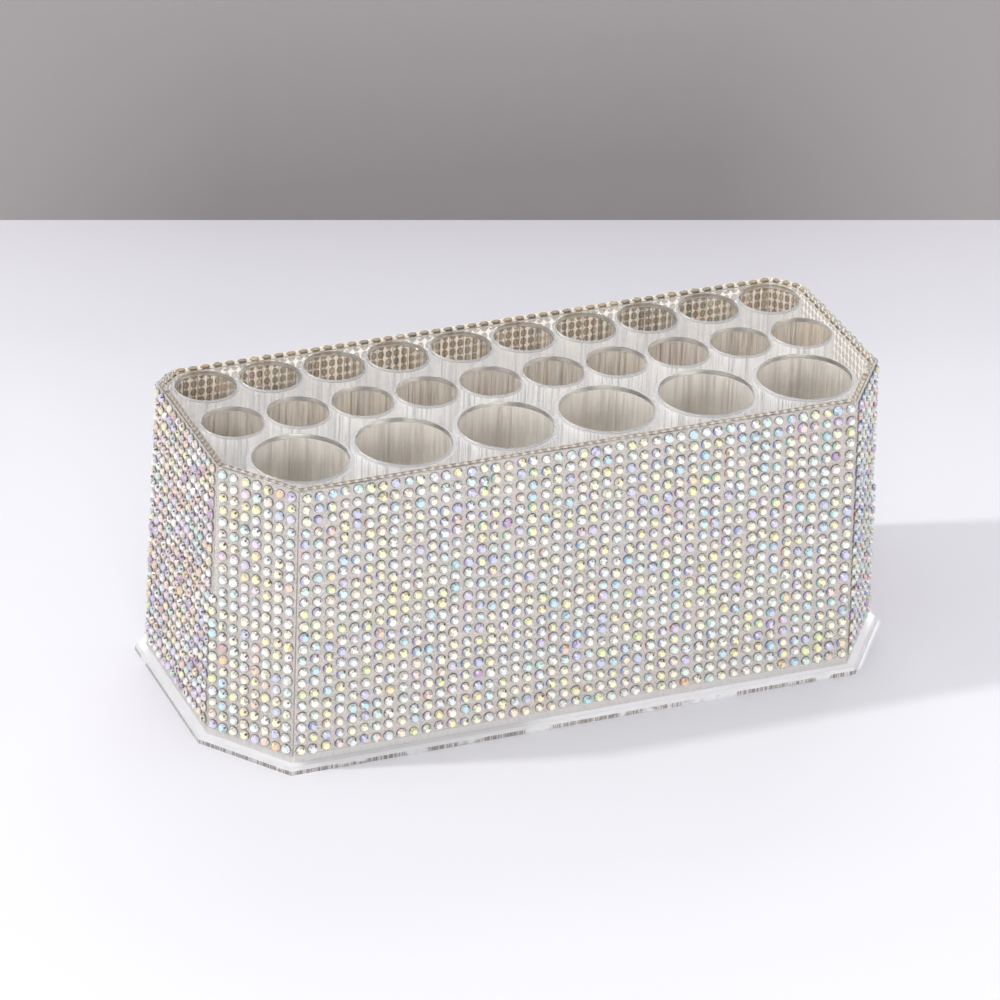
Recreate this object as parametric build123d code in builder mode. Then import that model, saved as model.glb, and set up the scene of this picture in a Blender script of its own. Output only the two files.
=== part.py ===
"""Clear makeup brush holder with twenty six round wells and stone-covered walls.

All sizes are in millimetres. The origin is under the middle of the base plate,
+Z is up, and the large front wells are on the -Y side.
"""
from build123d import *
import os
from math import atan2, cos, degrees, radians, sin, tan

# Wells for the brushes: two rows of small ones, and large ones at the front
small_bore = 20.0
small_wall = 0.85
small_gap = 0.3
small_count = 10
large_bore = 31.0
large_wall = 1.5
large_gap = 0.74
large_count = 6

# Room between the tubes of the rows, and from the tubes to the inside of the rim
side_room = 1.35
back_room = 0.15
back_row_gap = 4.05
front_row_gap = 1.2
front_room = 2.4

# Cut-off corners of the case: the angle of each cut to the long faces, in degrees,
# and how close its wall comes to the last tube of the row beside it
front_cut_angle = 53.13
front_cut_room = 0.56
back_cut_angle = 45.0
back_cut_room = 0.77

# Heights of the pieces
height = 99.0
plate_thickness = 2.6
deck_thickness = 2.0
deck_recess = 0.5

# Wall of the case, which leans outwards on its way down
wall = 2.1
foot_spread = 2.8
corner_radius = 1.0
rim_bevel = 0.3

# Flange of the base plate, which stands out past the foot of the wall
flange_reach = 3.95
flange_bevel = 0.9

# Gap between the deck and the inside of the wall
deck_clearance = 0.1

# Sheets of stones glued to the eight faces of the wall
sheet_backing = 0.5
stone_rise = 1.3
stone_width = 3.4
table_width = 2.0
column_pitch = 4.2
sheet_top_gap = 0.4
sheet_foot_gap = 2.4
sheet_side_gap = 0.5

os.makedirs("parts", exist_ok=True)


# The case is as wide and as deep as its rows of tubes need
small_tube = small_bore + 2 * small_wall
large_tube = large_bore + 2 * large_wall
small_pitch = small_tube + small_gap
large_pitch = large_tube + large_gap
row_length = max(
    small_count * small_pitch - small_gap,
    large_count * large_pitch - large_gap,
)
rows_depth = small_tube + back_row_gap + small_tube + front_row_gap + large_tube
rim_width = row_length + 2 * (side_room + wall)
rim_depth = back_room + rows_depth + front_room + 2 * wall

# Rows of wells, from the back of the case to its front
back_row_y = rim_depth / 2 - wall - back_room - small_tube / 2
middle_row_y = back_row_y - small_tube - back_row_gap
front_row_y = middle_row_y - small_tube / 2 - front_row_gap - large_tube / 2

wall_height = height - plate_thickness
draft = degrees(atan2(foot_spread, wall_height))


def cut_corner(angle, room, tube, last_x, row_y, long_face_y):
    """Sizes along X and Y of a corner cut that passes a row's last tube at its room."""
    slant = radians(angle)
    reach = tube / 2 + room + wall
    along_y = abs(long_face_y - row_y)
    meets_long_face = last_x + (reach - along_y * cos(slant)) / sin(slant)
    cut_x = rim_width / 2 - meets_long_face
    return cut_x, cut_x * tan(slant)


front_cut_x, front_cut_y = cut_corner(
    angle=front_cut_angle,
    room=front_cut_room,
    tube=large_tube,
    last_x=(large_count - 1) / 2 * large_pitch,
    row_y=front_row_y,
    long_face_y=-rim_depth / 2,
)
back_cut_x, back_cut_y = cut_corner(
    angle=back_cut_angle,
    room=back_cut_room,
    tube=small_tube,
    last_x=(small_count - 1) / 2 * small_pitch,
    row_y=back_row_y,
    long_face_y=rim_depth / 2,
)


def flare_at(z):
    """How far the outside of the wall stands out past its rim at a height."""
    return foot_spread * (height - z) / wall_height


def plan(z, grow):
    """Plan of the case at a height, grown outwards from the rim by an amount."""
    x, y = rim_width / 2, rim_depth / 2
    with BuildSketch(Plane.XY.offset(z)) as outline:
        with BuildLine():
            Polyline(
                (-x + front_cut_x, -y),
                (x - front_cut_x, -y),
                (x, -y + front_cut_y),
                (x, y - back_cut_y),
                (x - back_cut_x, y),
                (-x + back_cut_x, y),
                (-x, y - back_cut_y),
                (-x, -y + front_cut_y),
                close=True,
            )
        make_face()
        if grow:
            offset(amount=grow, kind=Kind.INTERSECTION)
    return outline.sketch


def rising_edges(piece):
    """Edges that run up the corners of a piece."""
    return piece.edges().filter_by(lambda edge: abs(edge.tangent_at(0.5).Z) > 0.9)


def save(piece, name):
    piece.part.label = name
    export_step(piece.part, f"parts/{name}.step")


# Base plate, with the flange that stands out round the foot of the wall
with BuildPart() as base_plate:
    add(plan(0, foot_spread + flange_reach))
    extrude(amount=plate_thickness)
    chamfer(base_plate.edges().group_by(Axis.Z)[-1], length=flange_bevel)
    fillet(rising_edges(base_plate), radius=corner_radius)
save(base_plate, "base_plate")

# Case wall, an open tapered shell that stands on the base plate
with BuildPart() as outer_shell:
    add(plan(plate_thickness, foot_spread))
    extrude(amount=wall_height, taper=draft)
    chamfer(outer_shell.edges().group_by(Axis.Z)[-1], length=rim_bevel)
    fillet(rising_edges(outer_shell), radius=corner_radius)
    add(plan(plate_thickness, foot_spread - wall))
    extrude(amount=wall_height, taper=draft, mode=Mode.SUBTRACT)
save(outer_shell, "outer_shell")


# Insert that drops into the case: a deck just under the rim, and a tube under each hole
deck_top = height - deck_recess
deck_bottom = deck_top - deck_thickness
well_depth = deck_top - plate_thickness


def rows_of_circles(wall_share):
    """One circle for each well: its bore, or its bore and its tube's wall."""
    for row_y in (back_row_y, middle_row_y):
        with Locations((0, row_y)):
            with GridLocations(small_pitch, 0, small_count, 1):
                Circle(small_bore / 2 + small_wall * wall_share)
    with Locations((0, front_row_y)):
        with GridLocations(large_pitch, 0, large_count, 1):
            Circle(large_bore / 2 + large_wall * wall_share)


with BuildPart() as well_insert:
    add(plan(deck_top, flare_at(deck_top) - wall - deck_clearance))
    extrude(amount=-deck_thickness)
    with BuildSketch(Plane.XY.offset(deck_bottom)):
        rows_of_circles(wall_share=1)
    extrude(amount=plate_thickness - deck_bottom)
    with BuildSketch(Plane.XY.offset(deck_top)):
        rows_of_circles(wall_share=0)
    extrude(amount=-well_depth, mode=Mode.SUBTRACT)
save(well_insert, "well_insert")

# Band of the wall's outside that the stone sheets cover
sheet_top = height - sheet_top_gap
sheet_foot = plate_thickness + sheet_foot_gap
with BuildPart() as wall_band:
    add(plan(sheet_foot, flare_at(sheet_foot)))
    extrude(amount=sheet_top - sheet_foot, taper=draft)


def turn_from_front(face):
    """Turn of a wall face about +Z, anticlockwise from the front face, in whole degrees."""
    normal = face.normal_at()
    return round(degrees(atan2(normal.X, -normal.Y))) % 360


def make_sheet(face):
    """Backing and stone columns for one face of the wall, as two separate pieces.

    Both widen a little towards the foot, as the face does.
    """
    top_edge = face.edges().sort_by(Axis.Z)[-1]
    outward = face.normal_at()
    across = Vector(0, 0, 1).cross(outward).normalized()
    down = across.cross(outward)
    length = (sheet_foot - sheet_top) / down.Z
    flat = Plane(origin=top_edge @ 0.5, x_dir=across, z_dir=outward)
    corners = [flat.to_local_coords(corner.center()) for corner in face.vertices()]
    foot_left, foot_right = sorted(corner.X for corner in corners if corner.Y < -length / 2)
    top_left, top_right = sorted(corner.X for corner in corners if corner.Y > -length / 2)
    with BuildPart() as backing:
        with BuildSketch(flat):
            with BuildLine():
                Polyline(
                    (foot_left + sheet_side_gap, -length),
                    (foot_right - sheet_side_gap, -length),
                    (top_right - sheet_side_gap, 0),
                    (top_left + sheet_side_gap, 0),
                    close=True,
                )
            make_face()
        extrude(amount=sheet_backing)

    margin = sheet_side_gap + stone_width / 2
    top_span = top_right - top_left - 2 * margin
    foot_span = foot_right - foot_left - 2 * margin
    columns = max(1, round(top_span / column_pitch)) + 1
    flank = degrees(atan2(stone_rise, (stone_width - table_width) / 2))
    section = Plane(origin=top_edge @ 0.5, x_dir=across, z_dir=down)
    with BuildPart() as stones:
        for number in range(columns):
            share = number / (columns - 1)
            top_x = top_left + margin + share * top_span
            foot_x = foot_left + margin + share * foot_span
            path = across * (foot_x - top_x) + down * length
            with BuildSketch(section):
                with Locations((top_x, sheet_backing)):
                    Trapezoid(stone_width, stone_rise, flank, align=(Align.CENTER, Align.MIN))
            extrude(amount=path.length, dir=path)
    return backing, stones


# Stone sheets, anticlockwise from the front face
side_faces = wall_band.faces().filter_by(lambda face: abs(face.normal_at().Z) < 0.5)
side_names = [
    "front",
    "front_right",
    "right",
    "back_right",
    "back",
    "back_left",
    "left",
    "front_left",
]
for name, face in zip(side_names, side_faces.sort_by(turn_from_front)):
    backing, stones = make_sheet(face)
    save(backing, f"backing_{name}")
    save(stones, f"stones_{name}")
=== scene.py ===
# %% [markdown]
# # A clear brush holder covered in stones
# The holder is a clear case with round wells for make-up brushes, and its walls are covered
# in rows of small iridescent stones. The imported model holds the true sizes. This lesson loads
# it as a fixed frame and dresses it: clear mouldings that bend light, sheets with foil dots
# behind the stones, and the stones themselves, one by one.

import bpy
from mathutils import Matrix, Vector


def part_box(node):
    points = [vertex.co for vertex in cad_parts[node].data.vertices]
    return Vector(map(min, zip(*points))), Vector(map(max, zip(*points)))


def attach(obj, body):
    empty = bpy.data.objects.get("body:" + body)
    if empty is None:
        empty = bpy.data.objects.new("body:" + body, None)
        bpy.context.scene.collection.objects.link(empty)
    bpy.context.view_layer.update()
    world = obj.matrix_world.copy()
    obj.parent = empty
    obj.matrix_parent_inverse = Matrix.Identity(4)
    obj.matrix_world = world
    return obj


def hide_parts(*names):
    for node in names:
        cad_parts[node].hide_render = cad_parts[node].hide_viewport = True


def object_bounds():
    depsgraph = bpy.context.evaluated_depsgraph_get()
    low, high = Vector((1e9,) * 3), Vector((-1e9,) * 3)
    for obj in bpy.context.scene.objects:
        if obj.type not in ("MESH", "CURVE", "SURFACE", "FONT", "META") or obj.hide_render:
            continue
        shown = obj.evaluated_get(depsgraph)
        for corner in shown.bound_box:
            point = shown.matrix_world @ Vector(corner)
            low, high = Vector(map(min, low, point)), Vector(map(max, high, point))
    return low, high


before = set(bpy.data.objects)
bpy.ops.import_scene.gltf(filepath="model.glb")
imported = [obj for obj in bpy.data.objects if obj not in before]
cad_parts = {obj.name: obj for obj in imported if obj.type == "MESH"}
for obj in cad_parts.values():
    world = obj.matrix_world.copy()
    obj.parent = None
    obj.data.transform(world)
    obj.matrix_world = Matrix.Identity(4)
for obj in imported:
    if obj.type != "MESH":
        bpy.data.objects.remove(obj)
cad_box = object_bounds()
print("nodes:", len(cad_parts), "box:", cad_box)

# %% Imports and units
import math

import bmesh
import bpy
from mathutils import Matrix, Vector

MM = 0.001


def paint(red, green, blue):
    """Blender's linear value of a colour that a screen shows as these three numbers to 255."""
    def linear(value):
        value /= 255
        return value / 12.92 if value <= 0.04045 else ((value + 0.055) / 1.055) ** 2.4
    return (linear(red), linear(green), linear(blue), 1.0)


# %% [markdown]
# ## Camera
# The photograph was taken from the front left, from about 1.8 m away and 29 degrees above
# the table, with a long lens. A camera fitted to the wells' ellipses gave these values. The
# lens follows from the focal length in pixels, because a 1000 pixel wide image has to fill
# the 36 mm sensor.

# %% The camera
CAMERA_AZIMUTH = math.radians(-23.038)
CAMERA_RISE = math.radians(28.939)
CAMERA_ROLL = math.radians(2.226)
CAMERA_DISTANCE = 1.8138
LOOKS_AT = Vector((-0.03792, -0.06887, 0.0987))
FOCAL_PIXELS = 5851
IMAGE_PIXELS = 1000
SENSOR_WIDTH = 36


def camera_axes():
    """The camera's right, up and backward directions in the frame."""
    back = Vector((
        math.sin(CAMERA_AZIMUTH) * math.cos(CAMERA_RISE),
        -math.cos(CAMERA_AZIMUTH) * math.cos(CAMERA_RISE),
        math.sin(CAMERA_RISE),
    ))
    right = Vector((0, 0, 1)).cross(back).normalized()
    up = back.cross(right)
    turn = Matrix.Rotation(CAMERA_ROLL, 3, back)
    return turn @ right, turn @ up, back


def make_camera():
    right, up, back = camera_axes()
    data = bpy.data.cameras.new("camera")
    data.sensor_width = SENSOR_WIDTH
    data.lens = FOCAL_PIXELS / IMAGE_PIXELS * SENSOR_WIDTH
    data.clip_start = 0.01
    data.clip_end = 100
    camera = bpy.data.objects.new("camera", data)
    bpy.context.scene.collection.objects.link(camera)
    matrix = Matrix((right, up, back)).transposed().to_4x4()
    matrix.translation = LOOKS_AT + back * CAMERA_DISTANCE
    camera.matrix_world = matrix
    bpy.context.scene.camera = camera
    return camera


camera = make_camera()
print("lens:", round(camera.data.lens, 1), "mm")

# %% [markdown]
# ## Wiring shader and geometry nodes by name
# Node trees are easier to read when each node is one call. The helpers make a node, choose its
# settings and either set or join each of its inputs, so the trees below read like recipes.

# %% Node helpers
def fill(tree, node, inputs):
    """Sets or joins a node's inputs, given by name or number as values or other sockets."""
    for key, value in inputs.items():
        if isinstance(value, bpy.types.NodeSocket):
            tree.links.new(value, node.inputs[key])
        else:
            node.inputs[key].default_value = value


def add_node(tree, kind, inputs=None, **settings):
    """Adds a node with its settings and its inputs."""
    node = tree.nodes.new(kind)
    for name, value in settings.items():
        setattr(node, name, value)
    fill(tree, node, inputs or {})
    return node


def calculate(tree, operation, first, second=0.0, third=0.0):
    """Result socket of one Math node."""
    inputs = {0: first, 1: second, 2: third}
    return add_node(tree, "ShaderNodeMath", inputs, operation=operation).outputs[0]


def vector_math(tree, operation, *vectors):
    """Result socket of one Vector Math node: a number if it measures, else a vector."""
    node = add_node(tree, "ShaderNodeVectorMath", dict(enumerate(vectors)), operation=operation)
    return node.outputs["Value" if operation in ("LENGTH", "DISTANCE") else "Vector"]


def scale_vector(tree, vector, factor):
    inputs = {0: vector, 3: factor}
    return add_node(tree, "ShaderNodeVectorMath", inputs, operation="SCALE").outputs[0]


def split(tree, vector):
    """The three parts of a vector."""
    return add_node(tree, "ShaderNodeSeparateXYZ", {0: vector}).outputs


def join(tree, *parts):
    """A vector from its parts."""
    return add_node(tree, "ShaderNodeCombineXYZ", dict(enumerate(parts))).outputs[0]


def ease(tree, value, low, high, from_value=0.0, to_value=1.0):
    """value mapped smoothly from low..high to from_value..to_value, and held outside."""
    inputs = {"Value": value, "From Min": low, "From Max": high}
    inputs |= {"To Min": from_value, "To Max": to_value}
    return add_node(tree, "ShaderNodeMapRange", inputs, interpolation_type="SMOOTHSTEP").outputs[0]


def noise(tree, place, scale, detail, roughness=0.5):
    """Cloudy noise from 0 to 1."""
    inputs = {"Vector": place, "Scale": scale, "Detail": detail, "Roughness": roughness}
    return add_node(tree, "ShaderNodeTexNoise", inputs).outputs[0]


def white_noise(tree, key):
    """A random Value and a random Color for each value of a vector."""
    return add_node(tree, "ShaderNodeTexWhiteNoise", {"Vector": key}, noise_dimensions="3D").outputs


def blend_colour(tree, share, first, second, mode="MIX"):
    """Two colours mixed by share, or by one of the other blend modes."""
    inputs = {0: share, 6: first, 7: second}
    settings = {"data_type": "RGBA", "blend_type": mode, "clamp_factor": True}
    return add_node(tree, "ShaderNodeMix", inputs, **settings).outputs[2]


def pick_colour(tree, dice, swatches):
    """One of several colours by a random number from 0 to 1. swatches: (share, colour)."""
    ramp = add_node(tree, "ShaderNodeValToRGB", {0: dice})
    ramp.color_ramp.interpolation = "CONSTANT"
    total = sum(share for share, colour in swatches)
    stops = ramp.color_ramp.elements
    start = 0.0
    for number, (share, colour) in enumerate(swatches):
        stop = stops[number] if number < 2 else stops.new(start)
        stop.position = start
        stop.color = colour
        start += share / total
    return ramp.outputs[0]


def make_tree(kind, name, inputs, outputs):
    """An empty node tree with named sockets. Also gives its input sockets and its last node."""
    tree = bpy.data.node_groups.new(name, kind)
    for in_out, sockets in (("INPUT", inputs), ("OUTPUT", outputs)):
        for socket_name, socket_kind in sockets.items():
            socket_type = "NodeSocket" + socket_kind
            tree.interface.new_socket(socket_name, in_out=in_out, socket_type=socket_type)
    return tree, tree.nodes.new("NodeGroupInput").outputs, tree.nodes.new("NodeGroupOutput")


def place_group(tree, group, inputs):
    """A shader node group in a material, with its own inputs. Gives its output sockets."""
    return add_node(tree, "ShaderNodeGroup", inputs, node_tree=group).outputs


def new_material(name):
    """A material with its Principled shader and its output."""
    material = bpy.data.materials.new(name)
    material.use_nodes = True
    tree = material.node_tree
    return material, tree, tree.nodes["Principled BSDF"], tree.nodes["Material Output"]


# %% [markdown]
# ## Shared effects as node groups
# Moulded and drawn acrylic isn't perfectly flat. Tubes carry fine lines along their length
# from the die, and plates have a slow waviness that makes reflections swim. Together they
# are a height for a Bump node. The group also gives three masks: small rubbed marks, which
# set roughness; streaks down a tube, which the colours turn into painted highlights and
# painted shade; and broken upright strokes, which become painted shade on the holes' edges
# and dark painted reflections on the plate's edge. All of them are read from Object
# coordinates, so they stay where the piece is.

# %% Lines, waves and marks of clear plastic
DRAWN_OUT = (1, 1, 0.02)  # squeezes places along Z, which draws noise out into upright lines


def make_clear_surface():
    """Height of fine lines and waves, and masks of rubbed marks and of painted streaks and dashes.
    """
    tree, given, end = make_tree(
        "ShaderNodeTree", "clear surface",
        {"Place": "Vector", "Lines": "Float"},
        {"Height": "Float", "Marks": "Float", "Streaks": "Float", "Dashes": "Float"},
    )
    place = given["Place"]
    mapping = {"Vector": place, "Scale": DRAWN_OUT}
    upright = add_node(tree, "ShaderNodeMapping", mapping).outputs[0]
    lines = noise(tree, upright, scale=900, detail=3, roughness=0.6)
    lines = calculate(tree, "MULTIPLY", lines, given["Lines"])
    waves = noise(tree, place, scale=60, detail=1)
    marks = noise(tree, place, scale=900, detail=4, roughness=0.7)
    streaks = noise(tree, upright, scale=1200, detail=4, roughness=0.75)
    stretches = ease(tree, noise(tree, place, scale=85, detail=2), 0.38, 0.46)
    strokes = ease(tree, noise(tree, upright, scale=1900, detail=2), 0.38, 0.56, 0.3)
    fill(tree, end, {
        "Height": calculate(tree, "ADD", lines, waves),
        "Marks": ease(tree, marks, 0.45, 0.8),
        "Streaks": ease(tree, streaks, 0.46, 0.62),
        "Dashes": calculate(tree, "MULTIPLY", stretches, strokes),
    })
    return tree


clear_surface = make_clear_surface()
print("group:", clear_surface.name)

# %% [markdown]
# ## Clear acrylic
# Each clear piece bends light with an index of 1.49. Rays from lamps pass straight through,
# so that light reaches the wells without waiting for lucky paths. A share of each colour is
# plain instead of clear. It is painted light, for light that a renderer can't gather through
# so many walls: little of it in the wall and the deck, more in the base plate, which also has
# a faint painted glow, and more in the tubes from row to row towards the front. Outside, the
# tubes' streaks are painted highlights and painted shade. Inside, they are warm painted light
# and shade, and the tubes have stronger lines than the plates. The sawn edges of the holes and
# of the base plate are frosted. In broken upright strokes, painted shade darkens the holes'
# edges and dark painted reflections mark the plate's edge. The tubes' level ends are painted
# dark, as painted shade, because the thin gap above them would otherwise draw a bright ring
# under each hole, and the real holder shows none.

# %% Clear materials
ACRYLIC_INDEX = 1.49
LAMP_LIGHT_LEFT = (0.988, 0.988, 0.99, 1)
POLISHED_ROUGHNESS, RUBBED_ROUGHNESS = 0.012, 0.05
LEVEL_FROM, LEVEL_BY = 0.5, 0.9
UPRIGHT_FROM, UPRIGHT_BY = 0.5, 0.2


def make_clear(
    name, clarity, outer, inner, lines=0.1, depth=0.04 * MM, scatter=0.0,
    cut_edge=None, frost=0.0, painted_glow=0.0, painted_end_shade=None,
):
    """Clear acrylic. outer and inner are its plain and streaked colours on each side; where
    they streak, they are painted highlights and painted shade.

    clarity is the share that bends light, scatter leans the surface up or down at random, and
    a small painted glow gives it a little light of its own. cut_edge, if given, is the plain
    and marked colour of upright edges, which frost blurs: painted shade on the holes' edges and
    painted reflections on the plate's edge. The last colour, if given, is the painted shade of
    level ends.
    """
    material, tree, shader, output = new_material(name)
    place = add_node(tree, "ShaderNodeTexCoord").outputs["Object"]
    geometry = add_node(tree, "ShaderNodeNewGeometry").outputs
    inner_side = add_node(tree, "ShaderNodeAttribute", attribute_name="inner side").outputs["Fac"]
    surface = place_group(tree, clear_surface, {"Place": place, "Lines": lines})
    dice = white_noise(tree, place)["Value"]
    lift = calculate(tree, "MULTIPLY_ADD", dice, 2 * scatter, -scatter)
    leaning = vector_math(tree, "ADD", geometry["Normal"], join(tree, 0.0, 0.0, lift))
    bump = add_node(tree, "ShaderNodeBump", {
        "Height": surface["Height"],
        "Strength": 1.0,
        "Distance": depth,
        "Normal": vector_math(tree, "NORMALIZE", leaning),
    })
    roughness = ease(tree, surface["Marks"], 0, 1, POLISHED_ROUGHNESS, RUBBED_ROUGHNESS)
    # painted highlights and painted shade along the streaks
    outer_colour = blend_colour(tree, surface["Streaks"], *outer)
    inner_colour = blend_colour(tree, surface["Streaks"], *inner)
    colour = blend_colour(tree, inner_side, outer_colour, inner_colour)
    # 1 on level faces and 0 on upright ones
    level = calculate(tree, "ABSOLUTE", split(tree, geometry["True Normal"])[2])
    # the tubes' level ends get a dark colour: painted shade
    if painted_end_shade:
        colour = blend_colour(tree, ease(tree, level, LEVEL_FROM, LEVEL_BY), colour, painted_end_shade)
    if cut_edge:
        upright = ease(tree, level, UPRIGHT_FROM, UPRIGHT_BY)
        # broken strokes of painted shade on the holes' edges, and of dark painted reflections on
        # the plate's edge
        painted_edge = blend_colour(tree, surface["Dashes"], *cut_edge)
        colour = blend_colour(tree, upright, colour, painted_edge)
        roughness = calculate(tree, "MULTIPLY_ADD", upright, frost, roughness)
    fill(tree, shader, {
        "Base Color": colour,
        "Roughness": roughness,
        "Normal": bump.outputs[0],
        "Transmission Weight": clarity,
        "IOR": ACRYLIC_INDEX,
        # a faint painted glow in the piece's own colour
        "Emission Color": colour,
        "Emission Strength": painted_glow,
    })
    passing = add_node(tree, "ShaderNodeBsdfTransparent", {"Color": LAMP_LIGHT_LEFT}).outputs[0]
    shadow_ray = add_node(tree, "ShaderNodeLightPath").outputs["Is Shadow Ray"]
    mix = add_node(tree, "ShaderNodeMixShader", {0: shadow_ray, 1: shader.outputs[0], 2: passing})
    tree.links.new(mix.outputs[0], output.inputs["Surface"])
    return material


PLAIN = ((0.99, 0.985, 0.99, 1), (0.96, 0.955, 0.96, 1))
# Tube streaks, plain then streaked: painted highlights and painted shade outside, warm painted
# light and shade inside
OUTSIDE = ((1.0, 0.99, 1.0, 1), (0.16, 0.15, 0.145, 1))
BACK_OUTSIDE = ((1.0, 0.99, 1.0, 1), (0.27, 0.255, 0.25, 1))
BACK_INSIDE = ((1.0, 0.96, 0.9, 1), (0.9, 0.83, 0.74, 1))
MIDDLE_INSIDE = ((1.0, 0.94, 0.84, 1), (0.7, 0.59, 0.47, 1))
FRONT_INSIDE = ((1.0, 0.96, 0.89, 1), (0.9, 0.83, 0.74, 1))
# painted shade on the holes' cut edges
HOLE_EDGE = ((0.7, 0.655, 0.6, 1), (0.55, 0.505, 0.455, 1))
# dark painted reflections, in dashes, on the base plate's edge
PLATE_EDGE = ((0.95, 0.95, 0.95, 1), (0.27, 0.235, 0.205, 1))
CEMENT = ((0.66, 0.64, 0.625, 1), (0.6, 0.58, 0.57, 1))
# the tubes' level ends are painted dark: painted shade
TUBE = {"lines": 1.0, "depth": 0.09 * MM, "painted_end_shade": (0.3, 0.29, 0.285, 1)}

clear_wall = make_clear("clear wall", 0.96, PLAIN, PLAIN)
clear_plate = make_clear("clear plate", 0.95, PLAIN, PLAIN, cut_edge=HOLE_EDGE, frost=0.6)
# The base's large plain share and its faint glow are painted light that brightens the flange
clear_base = make_clear(
    "clear base", 0.6, PLAIN, PLAIN, cut_edge=PLATE_EDGE, frost=0.08, painted_glow=0.025
)
clear_cement = make_clear("clear cement", 0.2, CEMENT, CEMENT, lines=0.0, depth=0.08 * MM)
# The plain share grows from the back row to the front row: painted light that brightens the nearer
# wells
clear_tube = make_clear("clear tube", 0.9, BACK_OUTSIDE, BACK_INSIDE, scatter=0.05, **TUBE)
middle_tube_painted_light = make_clear("middle tube painted light", 0.68, OUTSIDE, MIDDLE_INSIDE, scatter=0.08, **TUBE)
front_tube_painted_light = make_clear("front tube painted light", 0.47, OUTSIDE, FRONT_INSIDE, scatter=0.06, **TUBE)
print("clear materials:", clear_plate.name, clear_tube.name)

# %% [markdown]
# ## Where the walls are
# The case has eight leaning faces. Each face's sheet is a thin flat piece in the packed
# model, so the planes of the walls are read from those pieces. Everything that follows the
# case, such as its wall, its deck and the plate under it, is drawn from these planes.

# %% Planes of the eight faces
SIDES = ["front", "front_right", "right", "back_right", "back", "back_left", "left", "front_left"]


def ends(values):
    """Smallest and largest of some numbers."""
    values = list(values)
    return min(values), max(values)


class Sheet:
    """Place, directions and outline of the sheet on one face, with its zero on the wall.

    The sheet is a little wider at its foot than at its top.
    """

    def __init__(self, side):
        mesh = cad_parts["backing_" + side].data
        low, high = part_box("backing_" + side)
        middle = (low + high) / 2
        away = Vector((middle.x, middle.y, 0))
        outer = [face for face in mesh.polygons if face.normal.dot(away) > 0]
        self.outward = max(outer, key=lambda face: face.area).normal.normalized()
        self.across = Vector((0, 0, 1)).cross(self.outward).normalized()
        self.up = self.outward.cross(self.across)
        corners = [vertex.co for vertex in mesh.vertices]
        left, right = ends(self.across.dot(corner) for corner in corners)
        foot, top = ends(self.up.dot(corner) for corner in corners)
        back, front = ends(self.outward.dot(corner) for corner in corners)
        self.length = top - foot
        self.thickness = front - back
        middle_x, middle_y = (left + right) / 2, (foot + top) / 2
        self.origin = self.across * middle_x + self.up * middle_y + self.outward * back
        flat = [(self.across.dot(c) - middle_x, self.up.dot(c) - middle_y) for c in corners]
        self.foot = ends(x for x, y in flat if y < 0)
        self.top = ends(x for x, y in flat if y > 0)

    def matrix(self):
        """Places a flat piece drawn in X and Y, with Z outwards, on the wall."""
        place = Matrix((self.across, self.up, self.outward)).transposed().to_4x4()
        place.translation = self.origin
        return place


sheets = {side: Sheet(side) for side in SIDES}
for side, sheet in sheets.items():
    top_width = sheet.top[1] - sheet.top[0]
    print(side, "sheet:", round(top_width / MM, 1), "x", round(sheet.length / MM, 1), "mm")


# %% Outline of the case at any height
ARC_STEPS = 6


def wall_line(sheet, z, grow):
    """Turn of a wall about Z, and its distance from the origin at a height."""
    flat = math.hypot(sheet.outward.x, sheet.outward.y)
    reach = (sheet.outward.dot(sheet.origin) - sheet.outward.z * z) / flat + grow
    return math.atan2(sheet.outward.y, sheet.outward.x), reach


def outline(z, grow, radius):
    """Points round the case's plan at a height, grown outwards, with rounded corners."""
    points = []
    for number, side in enumerate(SIDES):
        turn, reach = wall_line(sheets[side], z, grow - radius)
        next_side = SIDES[(number + 1) % len(SIDES)]
        next_turn, next_reach = wall_line(sheets[next_side], z, grow - radius)
        swing = (next_turn - turn) % math.tau
        across = (next_reach - reach * math.cos(swing)) / math.sin(swing)
        corner = Vector((
            reach * math.cos(turn) - across * math.sin(turn),
            reach * math.sin(turn) + across * math.cos(turn),
            z,
        ))
        for step in range(ARC_STEPS + 1):
            angle = turn + swing * step / ARC_STEPS
            points.append(corner + radius * Vector((math.cos(angle), math.sin(angle), 0)))
    return points


rim = outline(cad_box[1].z, 0, 1 * MM)
print("rim is", round((max(p.x for p in rim) - min(p.x for p in rim)) / MM, 1), "mm wide")

# %% [markdown]
# ## From rings of points to a finished piece
# A moulding whose plan keeps its form all the way up is a stack of rings joined by quads. Small
# bevels are just more rings. The same few steps finish every moulding here: double points are
# merged, normals are made to point outwards, and edges sharper than a set angle stay sharp.
# So do the edges between a wide flat face and a narrow rounded strip. Otherwise the strip
# would bend the shading of the whole flat face, and a clear plate would look like a lens.

# %% Mesh helpers
MERGE_DISTANCE = 1e-7
SMOOTH_BELOW = math.radians(20)
TINY_ANGLE = math.radians(1)
WIDE_TO_NARROW = 5


def is_sharp(edge):
    """Whether the shading breaks at an edge."""
    if len(edge.link_faces) != 2:
        return True
    angle = edge.calc_face_angle()
    areas = sorted(face.calc_area() for face in edge.link_faces)
    wide_beside_narrow = angle > TINY_ANGLE and areas[1] > WIDE_TO_NARROW * areas[0]
    return angle > SMOOTH_BELOW or wide_beside_narrow


def finish_mesh(bm, name, smooth=True):
    """A plain mesh from a bmesh, closed and facing outwards."""
    bmesh.ops.remove_doubles(bm, verts=bm.verts, dist=MERGE_DISTANCE)
    bmesh.ops.recalc_face_normals(bm, faces=bm.faces)
    for face in bm.faces:
        face.smooth = smooth
    for edge in bm.edges:
        edge.smooth = not is_sharp(edge)
    mesh = bpy.data.meshes.new(name)
    bm.to_mesh(mesh)
    bm.free()
    return mesh


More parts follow.
